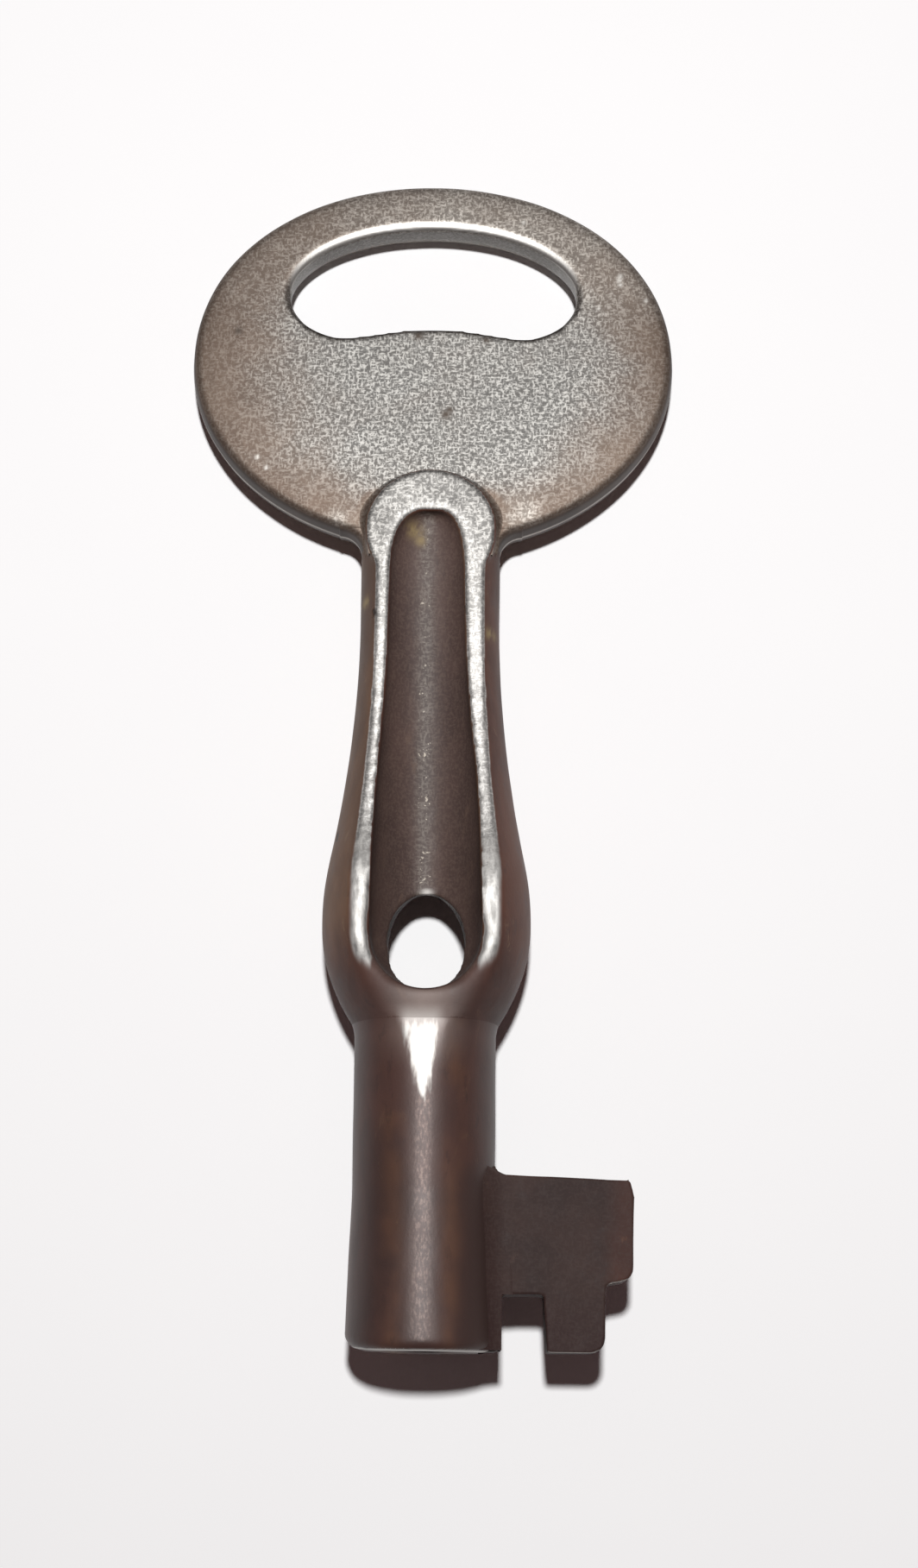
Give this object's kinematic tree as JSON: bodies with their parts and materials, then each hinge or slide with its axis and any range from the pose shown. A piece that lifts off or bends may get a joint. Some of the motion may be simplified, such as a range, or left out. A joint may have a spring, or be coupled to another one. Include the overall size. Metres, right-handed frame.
{
  "type": "railroad switch key",
  "caption": "Hollow-barrel railroad switch key: oval bow with a kidney-shaped ring slot, fluted shank swelling to a pierced collar, drilled barrel and a flat notched bit.",
  "frame": {"origin": "centre of the barrel's mouth, on the axis of the bore", "axes": "+Y up the shank from the mouth to the bow, +X out along the bit, +Z out of the front face"},
  "size_m": [0.0262, 0.0632, 0.0082],
  "materials": {
    "bow_steel": "worn grey steel with a fine sparkle, browned towards the rim",
    "shank_steel": "brown patina, worn to bright steel along the rails of the flute",
    "barrel_steel": "dark brown patina, smooth and half glossy",
    "bit_steel": "matt dark grey-brown patina with filed edges",
    "braze": "dull browned brass filler"
  },
  "bodies": {
    "root": {"bow": "bow_steel", "shank": "shank_steel", "barrel": "barrel_steel", "bit": "bit_steel", "bow_braze": "braze", "barrel_braze": "braze", "bit_braze": "braze"}
  },
  "joints": []
}
